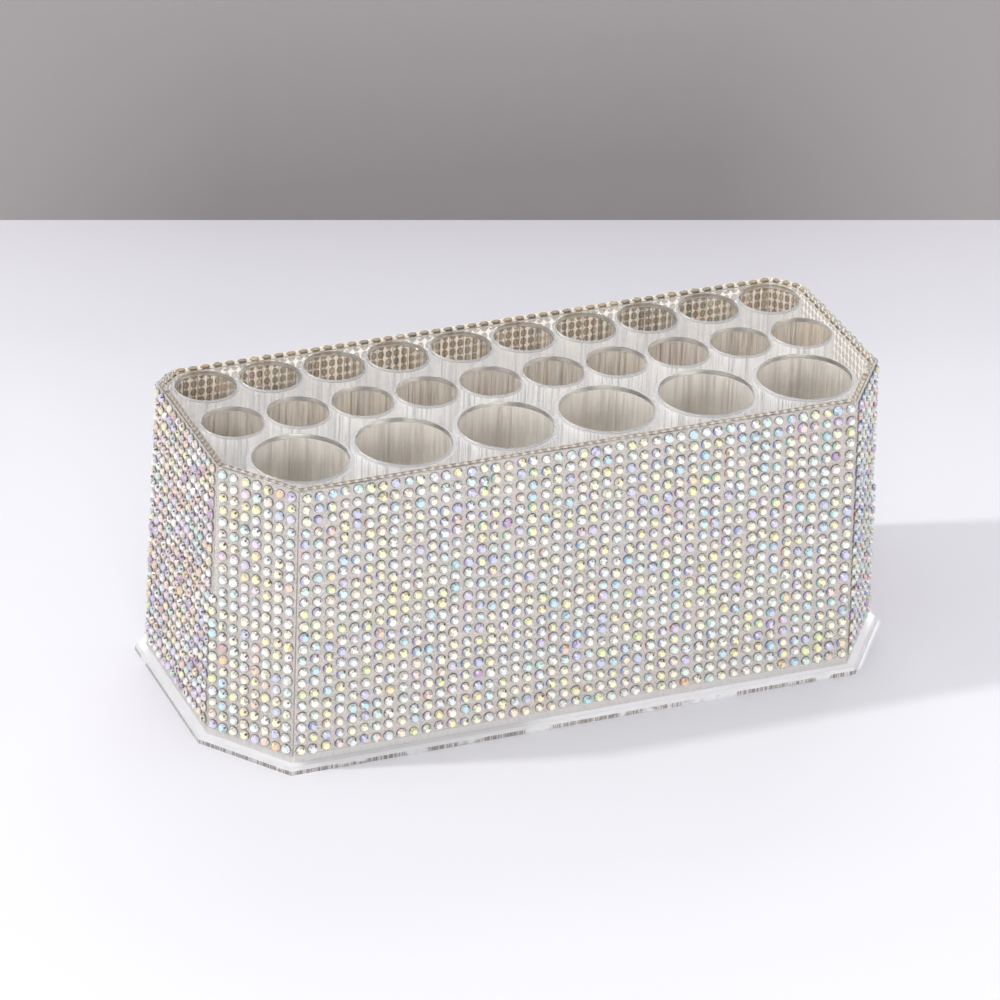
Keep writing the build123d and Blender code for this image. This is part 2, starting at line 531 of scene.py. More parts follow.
def add_piece(name, mesh, material):
    """Puts a mesh in the scene as a piece of the object that rides on its only body."""
    piece = bpy.data.objects.new(name, mesh)
    bpy.context.scene.collection.objects.link(piece)
    mesh.materials.clear()
    mesh.materials.append(material)
    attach(piece, "root")
    triangles = sum(len(face.vertices) - 2 for face in mesh.polygons)
    print(name, "triangles:", triangles)
    return piece


def stack_rings(rings, closed):
    """A bmesh through rings of points. closed joins the last ring to the first."""
    bm = bmesh.new()
    rows = [[bm.verts.new(point) for point in ring] for ring in rings]
    pairs = list(zip(rows, rows[1:] + rows[:1])) if closed else list(zip(rows, rows[1:]))
    for low, high in pairs:
        for here in range(len(low)):
            after = (here + 1) % len(low)
            bm.faces.new((low[here], low[after], high[after], high[here]))
    if not closed:
        bm.faces.new(rows[0])
        bm.faces.new(rows[-1])
    return bm


# %% [markdown]
# ## The case wall
# The wall leans outwards on its way down and stands on the base plate. Where two clear pieces
# meet, a gap of a few hundredths of a millimetre keeps their faces apart, as the air film
# between two real plates does.

# %% Case wall
AIR_FILM = 0.04 * MM
WALL = 2.1 * MM
RIM_BEVEL = 0.3 * MM
CORNER_RADIUS = 1.0 * MM
INNER_RADIUS = 0.4 * MM
wall_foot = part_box("outer_shell")[0].z
rim_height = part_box("outer_shell")[1].z


def make_wall():
    inner_bevel = RIM_BEVEL / 2
    rings = [
        outline(wall_foot + AIR_FILM, 0, CORNER_RADIUS),
        outline(rim_height - RIM_BEVEL, 0, CORNER_RADIUS),
        outline(rim_height - RIM_BEVEL / 4, -RIM_BEVEL / 4, CORNER_RADIUS),
        outline(rim_height, -RIM_BEVEL, CORNER_RADIUS),
        outline(rim_height, inner_bevel - WALL, INNER_RADIUS),
        outline(rim_height - inner_bevel, -WALL, INNER_RADIUS),
        outline(wall_foot + AIR_FILM, -WALL, INNER_RADIUS),
    ]
    return finish_mesh(stack_rings(rings, closed=True), "case_wall")


case_wall = add_piece("case_wall", make_wall(), clear_wall)
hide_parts("outer_shell")

# %% [markdown]
# ## The base plate
# The plate stands out past the wall as a flange with a wide bevel along its top edge. That
# bevel is what draws the bright line round the foot of the holder.

# %% Base plate
FLANGE_BEVEL = 0.9 * MM
EDGE_SOFTENING = 0.15 * MM
plate_low, plate_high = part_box("base_plate")


def flange_reach():
    """How far the plate's edge stands out past the wall's foot plane."""
    turn, foot_reach = wall_line(sheets["right"], plate_high.z, 0)
    return plate_high.x - foot_reach


def plate_ring(z, inset):
    """Ring of the plate, whose side is upright, at a height and set in from its edge."""
    ring = outline(plate_high.z, flange_reach() - inset, CORNER_RADIUS)
    return [Vector((point.x, point.y, z)) for point in ring]


def make_plate():
    bevel_foot = plate_high.z - FLANGE_BEVEL
    rings = [
        plate_ring(plate_low.z, EDGE_SOFTENING),
        plate_ring(plate_low.z + EDGE_SOFTENING, 0),
        plate_ring(bevel_foot - EDGE_SOFTENING / 2, 0),
        plate_ring(bevel_foot + EDGE_SOFTENING / 2, EDGE_SOFTENING / 2),
        plate_ring(plate_high.z - EDGE_SOFTENING / 2, FLANGE_BEVEL - EDGE_SOFTENING / 2),
        plate_ring(plate_high.z, FLANGE_BEVEL + EDGE_SOFTENING / 2),
    ]
    return finish_mesh(stack_rings(rings, closed=False), "base")


base = add_piece("base", make_plate(), clear_base)
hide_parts("base_plate")

# %% [markdown]
# ## The cement in the corner
# The wall is stuck to the plate with clear cement. A little of it stands in the corner outside
# as a soft fillet, below the sheets, and it is why no dark seam shows there. Its profile has
# three sides: one on the wall, one on the plate and one that leans between them.

# %% Cement fillet
CEMENT_HEIGHT = 2.0 * MM
CEMENT_WIDTH = 0.6 * MM
WIDTH_HALFWAY_UP = 0.4 * CEMENT_WIDTH


def make_cement():
    low, high = plate_high.z + AIR_FILM, plate_high.z + CEMENT_HEIGHT
    rings = [
        outline(low, AIR_FILM, CORNER_RADIUS),
        outline(low, CEMENT_WIDTH, CORNER_RADIUS),
        outline((low + high) / 2, WIDTH_HALFWAY_UP, CORNER_RADIUS),
        outline(high, AIR_FILM, CORNER_RADIUS),
    ]
    return finish_mesh(stack_rings(rings, closed=True), "cement")


add_piece("cement_fillet", make_cement(), clear_cement)

# %% [markdown]
# ## The deck and its holes
# A flat plate with many round holes is quickest as a two-dimensional curve: one outline and
# one circle for each hole. Blender fills between them, gives the plate its thickness and
# rounds every edge in one go. The curve is then made a plain mesh.

# %% The deck
SMALL_BORE = 20.0 * MM
LARGE_BORE = 31.0 * MM
SMALL_PITCH = 22.0 * MM
LARGE_PITCH = 34.74 * MM
DECK_THICKNESS = 1.5 * MM
DECK_GAP = 0.1 * MM
HOLE_SOFTENING = 0.12 * MM
CIRCLE_STEPS = 96
deck_low, deck_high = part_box("well_insert")


class Row:
    """A row of wells along X."""

    def __init__(self, y, pitch, count, bore, finish):
        self.pitch, self.count, self.bore, self.finish = pitch, count, bore, finish
        first = -(count - 1) / 2 * pitch
        self.centres = [Vector((first + number * pitch, y, 0)) for number in range(count)]


ROWS = {
    "back_tubes": Row(31.6 * MM, SMALL_PITCH, 10, SMALL_BORE, clear_tube),
    "middle_tubes": Row(5.85 * MM, SMALL_PITCH, 10, SMALL_BORE, middle_tube_painted_light),
    "front_tubes": Row(-23.2 * MM, LARGE_PITCH, 6, LARGE_BORE, front_tube_painted_light),
}


def circle(centre, radius):
    angles = [math.tau * step / CIRCLE_STEPS for step in range(CIRCLE_STEPS)]
    return [centre + radius * Vector((math.cos(angle), math.sin(angle), 0)) for angle in angles]


def plain_mesh(holder):
    """Mesh of an object as it is seen, with its curves filled and its modifiers run."""
    bpy.context.scene.collection.objects.link(holder)
    bpy.context.view_layer.update()
    seen = holder.evaluated_get(bpy.context.evaluated_depsgraph_get())
    return bpy.data.meshes.new_from_object(seen)


def filled_plate(name, loops, thickness, softening):
    """Plate between loops of points as a bmesh, its middle at Z = 0."""
    curve = bpy.data.curves.new(name, "CURVE")
    curve.dimensions = "2D"
    curve.fill_mode = "BOTH"
    curve.extrude = thickness / 2 - softening
    curve.bevel_depth = softening
    curve.bevel_resolution = 1
    curve.offset = -softening
    for loop in loops:
        spline = curve.splines.new("POLY")
        spline.points.add(len(loop) - 1)
        for point, place in zip(spline.points, loop):
            point.co = (place.x, place.y, 0, 1)
        spline.use_cyclic_u = True
    holder = bpy.data.objects.new(name, curve)
    mesh = plain_mesh(holder)
    bpy.data.objects.remove(holder)
    bm = bmesh.new()
    bm.from_mesh(mesh)
    bpy.data.meshes.remove(mesh)
    return bm


def make_deck():
    edge = outline(deck_high.z, -WALL - DECK_GAP, INNER_RADIUS)
    holes = [circle(centre, row.bore / 2) for row in ROWS.values() for centre in row.centres]
    bm = filled_plate("deck_outline", [edge] + holes, DECK_THICKNESS, HOLE_SOFTENING)
    bmesh.ops.translate(bm, verts=bm.verts, vec=(0, 0, deck_high.z - DECK_THICKNESS / 2))
    return finish_mesh(bm, "deck")


deck = add_piece("deck", make_deck(), clear_plate)
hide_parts("well_insert")

# %% [markdown]
# ## The tubes
# Each hole has a tube under it. A tube is a small closed profile turned round an axis, and a
# row repeats it at one pitch, so Geometry Nodes place the copies: a line of points, one tube
# on each, then real geometry again at the end. The faces inside a tube are marked, because
# its finish differs there.

# %% One tube
SMALL_WALL = 0.85 * MM
LARGE_WALL = 1.5 * MM
TUBE_SOFTENING = 0.1 * MM
tube_foot = deck_low.z + AIR_FILM
tube_top = deck_high.z - DECK_THICKNESS - AIR_FILM


def tube_profile(bore, wall):
    """Closed profile of a tube's wall, as distance from the axis and height."""
    inner, outer, soft = bore / 2, bore / 2 + wall, TUBE_SOFTENING
    return [
        (inner + soft, tube_foot), (outer - soft, tube_foot),
        (outer, tube_foot + soft), (outer, tube_top - soft),
        (outer - soft, tube_top), (inner + soft, tube_top),
        (inner, tube_top - soft), (inner, tube_foot + soft),
    ]


def make_tube(name, bore, wall):
    """One tube about the Z axis, as an object that is only ever copied."""
    rings = [circle(Vector((0, 0, height)), radius) for radius, height in tube_profile(bore, wall)]
    mesh = finish_mesh(stack_rings(rings, closed=True), name)
    inner = mesh.attributes.new("inner side", "FLOAT", "FACE")
    for face in mesh.polygons:
        from_axis = Vector((face.center.x, face.center.y, 0))
        inner.data[face.index].value = 1.0 if face.normal.dot(from_axis) < 0 else 0.0
    return bpy.data.objects.new(name, mesh)


small_tube = make_tube("small_tube", SMALL_BORE, SMALL_WALL)
large_tube = make_tube("large_tube", LARGE_BORE, LARGE_WALL)
print("tube height:", round((tube_top - tube_foot) / MM, 1), "mm")


# %% A row of copies with Geometry Nodes
def make_real(tree, instances, finish, end):
    """Ends a tree: its instances become real geometry with a material."""
    real = add_node(tree, "GeometryNodeRealizeInstances", {0: instances}).outputs[0]
    inputs = {"Geometry": real, "Material": finish}
    fill(tree, end, {0: add_node(tree, "GeometryNodeSetMaterial", inputs).outputs[0]})


def run_tree(tree, name, values):
    """Plain mesh that a tree makes with these values, set by the sockets' identifiers."""
    start = bpy.data.meshes.new(name + "_start")
    holder = bpy.data.objects.new(name, start)
    modifier = holder.modifiers.new("nodes", "NODES")
    modifier.node_group = tree
    for item in tree.interface.items_tree:
        if item.in_out == "INPUT":
            modifier[item.identifier] = values[item.name]
    mesh = plain_mesh(holder)
    mesh.name = name
    holder.modifiers.remove(modifier)
    bpy.data.objects.remove(holder)
    bpy.data.meshes.remove(start)
    return mesh


def make_row_tree():
    inputs = {
        "Tube": "Object",
        "Count": "Int",
        "First": "Vector",
        "Step": "Vector",
        "Finish": "Material",
    }
    tree, given, end = make_tree(
        "GeometryNodeTree", "row of tubes", inputs, {"Geometry": "Geometry"}
    )
    line = add_node(tree, "GeometryNodeMeshLine", {
        "Count": given["Count"],
        "Start Location": given["First"],
        "Offset": given["Step"],
    })
    tube = add_node(tree, "GeometryNodeObjectInfo", {"Object": given["Tube"]})
    copies = add_node(tree, "GeometryNodeInstanceOnPoints", {
        "Points": line.outputs[0],
        "Instance": tube.outputs["Geometry"],
    })
    make_real(tree, copies.outputs[0], given["Finish"], end)
    return tree


row_tree = make_row_tree()
for row_name, row in ROWS.items():
    row_mesh = run_tree(row_tree, row_name, {
        "Tube": small_tube if row.bore == SMALL_BORE else large_tube,
        "Count": row.count,
        "First": row.centres[0],
        "Step": (row.pitch, 0, 0),
        "Finish": row.finish,
    })
    add_piece(row_name, row_mesh, row.finish)

# %% [markdown]
# ## The sheets behind the stones
# The stones come glued on a thin sheet. From outside, a little of the taupe sheet shows
# between them. From inside, through the clear wall, each stone is an olive and brown dot of
# foil on a pale ground. The dots are upright ovals. Seen through the back wells they crowd
# closer than the stones do, and only along the rim is there one behind each stone. Both
# patterns follow the stones, so the sheet has a UV map that counts columns and rows.

# %% How the stones are laid out
STONE_WIDTH = 3.4 * MM
STONE_RISE = 1.3 * MM
TABLE_WIDTH = 2.05 * MM
COLUMN_PITCH = 4.2 * MM
CUT_FOOT_PITCH = 3.98 * MM
ROW_PITCH = 4.09 * MM
END_GAP = 1.85 * MM
CORNER_REACH = 0.45 * MM
ROOM_FOR_STONE = 0.44 * STONE_WIDTH
# End of a front cut's sheet that is beside the front face: 0 is its left, 1 its right
FRONT_SIDE = {"front_left": 1, "front_right": 0}


class StoneGrid:
    """Columns and rows of a sheet's stones, and where its first and last columns run.

    On the two front cuts the columns keep to the side of the front face, so an extra column
    fits at the other side near the foot.
    """

    def __init__(self, side):
        sheet = self.sheet = sheets[side]
        margin = STONE_WIDTH / 2
        self.top_first = sheet.top[0] + margin
        self.top_span = sheet.top[1] - sheet.top[0] - STONE_WIDTH
        self.foot_first = sheet.foot[0] + margin
        self.foot_span = sheet.foot[1] - sheet.foot[0] - STONE_WIDTH
        self.height = sheet.length - 2 * END_GAP
        self.columns = max(1, round(self.top_span / COLUMN_PITCH)) + 1
        self.rows = round(self.height / ROW_PITCH) + 1
        self.extra_start = self.extra_step = (0.0, 0.0, 0.0)
        self.extra_count = 0
        if side in FRONT_SIDE:
            self.add_extra_column(FRONT_SIDE[side])

    def add_extra_column(self, front_side):
        """Adds a column at the end away from the front face, as far up as there is room."""
        steps = self.columns - 1
        spare = self.foot_span - steps * CUT_FOOT_PITCH
        self.foot_first += spare * front_side
        self.foot_span -= spare
        far_side = 1 - front_side
        way = far_side - front_side
        foot_x = self.foot_first + far_side * self.foot_span + way * CUT_FOOT_PITCH
        top_x = self.top_first + far_side * self.top_span + way * self.top_span / steps
        row_height = self.height / (self.rows - 1)
        self.extra_start = (foot_x, -self.height / 2, 0.0)
        self.extra_step = ((top_x - foot_x) / (self.rows - 1), row_height, 0.0)
        foot_end, top_end = self.sheet.foot[far_side], self.sheet.top[far_side]
        for row in range(self.rows):
            rise = row / (self.rows - 1)
            centre = foot_x + rise * (top_x - foot_x)
            room = abs(foot_end + rise * (top_end - foot_end) - centre) + CORNER_REACH
            self.extra_count += room > ROOM_FOR_STONE

    def cell(self, x, y):
        """Column and row numbers, with fractions, of a place on the sheet."""
        rise = y / self.height + 0.5
        first = self.foot_first + rise * (self.top_first - self.foot_first)
        span = self.foot_span + rise * (self.top_span - self.foot_span)
        return (x - first) / span * (self.columns - 1), rise * (self.rows - 1)


grids = {side: StoneGrid(side) for side in SIDES}
for side, grid in grids.items():
    print(side, "stones:", grid.columns, "x", grid.rows, "and", grid.extra_count)


# %% Sheet mesh with a map in columns and rows
GLUE_DEPTH = 0.04 * MM
SHEET_SOFTENING = 0.08 * MM


def make_backing(side):
    """The sheet of one face. Its inner face lies just inside the wall's clear plastic."""
    sheet, grid = sheets[side], grids[side]
    half = sheet.length / 2
    rings = []
    for inset, height in (
        (-CORNER_REACH, -GLUE_DEPTH),
        (-CORNER_REACH, sheet.thickness - SHEET_SOFTENING),
        (SHEET_SOFTENING - CORNER_REACH, sheet.thickness),
    ):
        rings.append([
            Vector((sheet.foot[0] + inset, -half, height)),
            Vector((sheet.foot[1] - inset, -half, height)),
            Vector((sheet.top[1] - inset, half, height)),
            Vector((sheet.top[0] + inset, half, height)),
        ])
    bm = stack_rings(rings, closed=False)
    bmesh.ops.recalc_face_normals(bm, faces=bm.faces)
    cells = bm.loops.layers.uv.new("stone cells")
    inner = bm.faces.layers.float.new("inner side")
    for face in bm.faces:
        face[inner] = 1.0 if face.normal.z < -0.5 else 0.0
        for loop in face.loops:
            loop[cells].uv = grid.cell(loop.vert.co.x, loop.vert.co.y)
    mesh = finish_mesh(bm, "backing_" + side, smooth=False)
    mesh.transform(sheet.matrix())
    return mesh


# %% Foil dots on their pale ground, as a node group
FOIL_GROUND = paint(208, 198, 184)
FOIL_COLOURS = (
    (3, paint(118, 96, 40)),
    (3, paint(108, 80, 38)),
    (2, paint(140, 110, 54)),
    (2, paint(88, 76, 34)),
    (1, paint(128, 88, 58)),
    (1, paint(160, 140, 100)),
)


def make_foil_dots():
    """Colour of the sheet's inner side from the place in columns and rows.

    Extra dots says how many dots more than one there are for each stone below the rim row.
    Dot size is half a dot's width and height, as shares of the room for one dot.
    """
    tree, given, end = make_tree(
        "ShaderNodeTree", "foil dots",
        {"Cells": "Vector", "Extra dots": "Vector", "Rim row": "Float", "Dot size": "Vector"},
        {"Color": "Color"},
    )
    below_rim = calculate(tree, "LESS_THAN", split(tree, given["Cells"])[1], given["Rim row"])
    crowding = vector_math(tree, "MULTIPLY_ADD", given["Extra dots"], below_rim, (1.0, 1.0, 1.0))
    cells = vector_math(tree, "MULTIPLY_ADD", given["Cells"], crowding, (0.5, 0.5, 0.0))
    offset = vector_math(tree, "SUBTRACT", vector_math(tree, "FRACTION", cells), (0.5, 0.5, 0.0))
    share = vector_math(tree, "LENGTH", vector_math(tree, "DIVIDE", offset, given["Dot size"]))
    dice = white_noise(tree, vector_math(tree, "FLOOR", cells))["Value"]
    foil = pick_colour(tree, dice, FOIL_COLOURS)
    # painted light and shade: each dot is a little lighter at its middle and darker at its edge
    shade = ease(tree, share, 0.1, 0.95, 1.1, 0.4)
    shaded = blend_colour(tree, 1.0, foil, shade, mode="MULTIPLY")
    dot = ease(tree, share, 0.92, 1.06, 1.0, 0.0)
    fill(tree, end, {"Color": blend_colour(tree, dot, FOIL_GROUND, shaded)})
    return tree


foil_dots = make_foil_dots()
print("group:", foil_dots.name)


# %% Material of the sheets
# The sheet's inner side glows in the foil's colours: a painted glow that stands in for light let
# through the sheet
LIGHT_THROUGH_SHEET = 0.5
EXTRA_DOTS = (0.5, 0.33, 0.0)
DOT_SIZE = (0.4, 0.47, 1.0)
ROWS_TO_RIM = 1.25
GROUND_DARK, GROUND_PALE = paint(170, 164, 157), paint(210, 204, 198)
GROUND_PATCH = paint(204, 193, 190)


def make_backing_material():
    material, tree, shader, output = new_material("stone backing")
    foil = place_group(tree, foil_dots, {
        "Cells": add_node(tree, "ShaderNodeUVMap", uv_map="stone cells").outputs[0],
        "Extra dots": EXTRA_DOTS,
        "Rim row": grids["back"].rows - ROWS_TO_RIM,
        "Dot size": DOT_SIZE,
    })["Color"]
    inner = add_node(tree, "ShaderNodeAttribute", attribute_name="inner side").outputs["Fac"]
    place = add_node(tree, "ShaderNodeTexCoord").outputs["Object"]
    grains = noise(tree, place, scale=1500, detail=3, roughness=0.7)
    patches = ease(tree, noise(tree, place, scale=160, detail=2), 0.4, 0.7, 0, 0.6)
    ground = blend_colour(tree, ease(tree, grains, 0.35, 0.65), GROUND_DARK, GROUND_PALE)
    ground = blend_colour(tree, patches, ground, GROUND_PATCH)
    bump = {"Height": grains, "Strength": 0.6, "Distance": 0.1 * MM}
    fill(tree, shader, {
        "Base Color": blend_colour(tree, inner, ground, foil),
        "Roughness": ease(tree, grains, 0.3, 0.7, 0.35, 0.6),
        "Normal": add_node(tree, "ShaderNodeBump", bump).outputs[0],
        # painted glow on the inner side only
        "Emission Color": blend_colour(tree, inner, (0, 0, 0, 1), foil),
        "Emission Strength": LIGHT_THROUGH_SHEET,
    })
    return material


backing_material = make_backing_material()
for side in SIDES:
    backing = add_piece("backing_sheet_" + side, make_backing(side), backing_material)
    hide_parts("backing_" + side)

# %% [markdown]
# ## One stone
# Each stone is a flat-backed faceted gem: a low girdle, a crown of 24 triangles and a round
# table on top. With so few faces it can be copied thousands of times. Every face keeps its
# own number, and every point its place in the stone, so that the finish can treat facets one
# by one and always on the same side.

# %% Stone mesh
STONE_SIDES = 12
GIRDLE_RISE = 0.2 * MM
BACK_SHARE = 0.96
BACK_NUMBER, GIRDLE_NUMBER, TABLE_NUMBER = -1, 0, 50


def stone_ring(radius, height, half_step):
    angles = [math.tau * (step + half_step) / STONE_SIDES for step in range(STONE_SIDES)]
    return [Vector((radius * math.cos(a), radius * math.sin(a), height)) for a in angles]


def make_stone():
    radius = STONE_WIDTH / 2
    bm = bmesh.new()
    local = bm.verts.layers.float_vector.new("stone place")
    number = bm.faces.layers.float.new("facet")
    rings = [
        stone_ring(radius * BACK_SHARE, 0, 0),
        stone_ring(radius, GIRDLE_RISE, 0),
        stone_ring(TABLE_WIDTH / 2, STONE_RISE, 0.5),
    ]
    back, girdle, table = [[bm.verts.new(point) for point in ring] for ring in rings]
    for vertex in bm.verts:
        vertex[local] = vertex.co / radius
    bm.faces.new(back[::-1])[number] = BACK_NUMBER
    bm.faces.new(table)[number] = TABLE_NUMBER
    for here in range(STONE_SIDES):
        after = (here + 1) % STONE_SIDES
        side = (back[here], back[after], girdle[after], girdle[here])
        bm.faces.new(side)[number] = GIRDLE_NUMBER
        bm.faces.new((girdle[here], girdle[after], table[here]))[number] = 1 + here
        upper = (table[here], girdle[after], table[after])
        bm.faces.new(upper)[number] = 1 + STONE_SIDES + here
    mesh = bpy.data.meshes.new("stone")
    bm.to_mesh(mesh)
    bm.free()
    mesh.shade_flat()
    print("one stone has", len(mesh.polygons), "faces")
    return bpy.data.objects.new("stone", mesh)


stone = make_stone()

# %% [markdown]
# ## Laying the stones
# A person or a machine lays the stones in columns, never perfectly. A grid of points carries
# the stones. Each column drifts sideways and slides up or down, most at half its height, so
# the rows wander as they do on the real sheets. Then each point is nudged, and each stone is
# turned, tilted and scaled a little, all with a fixed seed. Three random numbers go with
# every stone for its colours.

# %% Geometry Nodes tree for one sheet of stones
# Numbers of the sockets for the lowest value, the highest value and the result
RANDOM_SOCKETS = {"FLOAT": (2, 3, 1), "FLOAT_VECTOR": (0, 1, 0)}
SLIDE_SEED = 5
STONE_INPUTS = {
    "Stone": "Object",
    "Columns": "Int",
    "Rows": "Int",
    "Top first": "Float",
    "Top span": "Float",
    "Foot first": "Float",
    "Foot span": "Float",
    "Height": "Float",
    "Extra count": "Int",
    "Extra start": "Vector",
    "Extra step": "Vector",
    "Drift": "Float",
    "Slide": "Float",
    "Nudge": "Vector",
    "Tilt": "Vector",
    "Smallest": "Float",
    "Largest": "Float",
    "Cast": "Float",
    "Seed": "Int",
    "Finish": "Material",
}


def random_value(tree, kind, low, high, seed, key=None):
    """Random number or vector, one for each point or stone, or for each key if it is given."""
    low_socket, high_socket, output = RANDOM_SOCKETS[kind]
    inputs = {low_socket: low, high_socket: high, "Seed": seed}
    if key is not None:
        inputs["ID"] = key
    return add_node(tree, "FunctionNodeRandomValue", inputs, data_type=kind).outputs[output]


def random_both_ways(tree, reach, seed):
    """Random vector between a reach and its opposite."""
    return random_value(tree, "FLOAT_VECTOR", scale_vector(tree, reach, -1.0), reach, seed)


def next_seed(tree, seed, step):
    return add_node(tree, "FunctionNodeIntegerMath", {0: seed, 1: step}).outputs[0]


def between(tree, share, low, high):
    """low at share 0 and high at share 1, for two sockets."""
    step = calculate(tree, "SUBTRACT", high, low)
    return calculate(tree, "MULTIPLY_ADD", share, step, low)


def make_fanned_grid(tree, given):
    """Points of the columns, which fan out a little from the top to the foot."""
    grid = add_node(tree, "GeometryNodeMeshGrid", {
        "Size X": 1.0,
        "Size Y": 1.0,
        "Vertices X": given["Columns"],
        "Vertices Y": given["Rows"],
    })
    place = add_node(tree, "GeometryNodeInputPosition").outputs[0]
    x_share, y_share = split(tree, place)[:2]
    along = calculate(tree, "ADD", x_share, 0.5)
    rise = calculate(tree, "ADD", y_share, 0.5)
    first = between(tree, rise, given["Foot first"], given["Top first"])
    span = between(tree, rise, given["Foot span"], given["Top span"])
    last = calculate(tree, "SUBTRACT", given["Columns"], 1.0)
    column = calculate(tree, "ROUND", calculate(tree, "MULTIPLY", along, last))
    drift = random_value(tree, "FLOAT", -1.0, 1.0, given["Seed"], column)
    x = calculate(tree, "MULTIPLY_ADD", along, span, first)
    x = calculate(tree, "MULTIPLY_ADD", drift, given["Drift"], x)
    slide_seed = next_seed(tree, given["Seed"], SLIDE_SEED)
    slide = random_value(tree, "FLOAT", -1.0, 1.0, slide_seed, column)
    # 1 at half height and 0 at both ends, where y_share is -0.5 and 0.5
    squared = calculate(tree, "MULTIPLY", y_share, y_share)
    middle_share = calculate(tree, "MULTIPLY_ADD", squared, -4.0, 1.0)
    reach = calculate(tree, "MULTIPLY", middle_share, given["Slide"])
    slide = calculate(tree, "MULTIPLY", slide, reach)
    y = calculate(tree, "MULTIPLY_ADD", y_share, given["Height"], slide)
    return add_node(tree, "GeometryNodeSetPosition", {
        "Geometry": grid.outputs["Mesh"],
        "Position": join(tree, x, y),
    }).outputs[0]


def make_stone_tree():
    tree, given, end = make_tree(
        "GeometryNodeTree", "sheet of stones", STONE_INPUTS, {"Geometry": "Geometry"}
    )
    seeds = [next_seed(tree, given["Seed"], step) for step in range(4)]
    extra = add_node(tree, "GeometryNodeMeshLine", {
        "Count": given["Extra count"],
        "Start Location": given["Extra start"],
        "Offset": given["Extra step"],
    })
    # The order of these two links numbers the points, and so it decides every random draw
    both = add_node(tree, "GeometryNodeJoinGeometry")
    tree.links.new(make_fanned_grid(tree, given), both.inputs[0])
    tree.links.new(extra.outputs[0], both.inputs[0])
    points = add_node(tree, "GeometryNodeSetPosition", {
        "Geometry": both.outputs[0],
        "Offset": random_both_ways(tree, given["Nudge"], seeds[0]),
    })
    source = add_node(tree, "GeometryNodeObjectInfo", {"Object": given["Stone"]})
    copies = add_node(tree, "GeometryNodeInstanceOnPoints", {
        "Points": points.outputs[0],
        "Instance": source.outputs["Geometry"],
        "Rotation": random_both_ways(tree, given["Tilt"], seeds[1]),
        "Scale": random_value(tree, "FLOAT", given["Smallest"], given["Largest"], seeds[2]),
    }).outputs[0]
    dice = random_value(tree, "FLOAT_VECTOR", (0.0, 0.0, 0.0), (1.0, 1.0, 1.0), seeds[3])
    for name, kind, value in (
        ("stone dice", "FLOAT_VECTOR", dice),
        ("stone cast", "FLOAT", given["Cast"]),
    ):
        inputs = {"Geometry": copies, "Name": name, "Value": value}
        settings = {"data_type": kind, "domain": "INSTANCE"}
        copies = add_node(tree, "GeometryNodeStoreNamedAttribute", inputs, **settings).outputs[0]
    make_real(tree, copies, given["Finish"], end)
    return tree


stone_tree = make_stone_tree()
print("stone tree nodes:", len(stone_tree.nodes))

# %% [markdown]
# ## Colours of the stones
# The stones have a thin metallic coating that splits light into pastels. Most tables look
# cream, white or pale yellow, some mint, aqua or lavender: each bright core is such a pastel
# with a painted reflection of the foil behind it. The crown is darker and changes from facet
# to facet, partly in the coating's pastels and partly in painted reflections, light on some
# facets and dark on others, with a violet edge on the left of many stones. As in real cut
# stones, the bright core is seldom whole: many have a bite of another colour at its edge,
# nearly half a painted highlight, a white glint at the upper left, and more than a third a
# small dark spot at the upper right. A thin ring of painted shade runs round the edge of each
# stone, stronger on some facets. On the two short sides most stones get a warmer painted
# tint, from pink to peach, which stands in for the colour that the coating reflects at that
# angle: Cast is their share. The group paints all of that from the three dice of a stone,
# and from more that it makes of them.

# %% Palette and paint of a stone
# Cores: the coating's pastels, with a painted reflection of the foil
TABLE_COLOURS = (
    (22, paint(247, 244, 234)),
    (18, paint(248, 244, 212)),
    (13, paint(228, 242, 233)),
    (11, paint(248, 238, 182)),
    (10, paint(228, 232, 238)),
    (6, paint(212, 238, 232)),
    (5, paint(190, 226, 240)),
    (3, paint(234, 242, 176)),
    (4, paint(200, 206, 240)),
    (4, paint(212, 204, 236)),
    (4, paint(246, 228, 208)),
    (1, paint(248, 222, 168)),
)
# Cores on the short sides: a warmer painted tint of the coating's reflection
WARM_TABLE_COLOURS = (
    (20, paint(248, 240, 236)),
    (16, paint(244, 218, 208)),
    (12, paint(232, 208, 222)),
    (13, paint(238, 202, 184)),
    (9, paint(222, 208, 236)),
    (9, paint(246, 230, 190)),
    (5, paint(200, 184, 222)),
    (3, paint(240, 200, 150)),
    (6, paint(204, 232, 224)),
    (4, paint(196, 150, 196)),
    (2, paint(216, 170, 170)),
)
# Crown facets: the coating's pastels and painted reflections, light and dark
CROWN_COLOURS = (
    (18, paint(204, 198, 190)),
    (10, paint(196, 190, 218)),
    (7, paint(164, 172, 216)),
    (8, paint(222, 192, 190)),
    (10, paint(186, 212, 202)),
    (16, paint(244, 243, 238)),
    (18, paint(108, 99, 92)),
    (5, paint(112, 100, 180)),
    (4, paint(216, 178, 130)),
    (5, paint(168, 158, 146)),
)
EDGE_COLOURS = (
    (4, paint(142, 130, 214)),
    (3, paint(190, 146, 216)),
    (3, paint(110, 146, 226)),
    (2, paint(222, 146, 146)),
    (2, paint(120, 214, 206)),
)
SPOT_COLOURS = (
    (6, paint(40, 32, 38)),
    (3, paint(92, 40, 44)),
    (3, paint(60, 44, 104)),
    (2, paint(28, 62, 104)),
    (3, paint(126, 100, 78)),
)
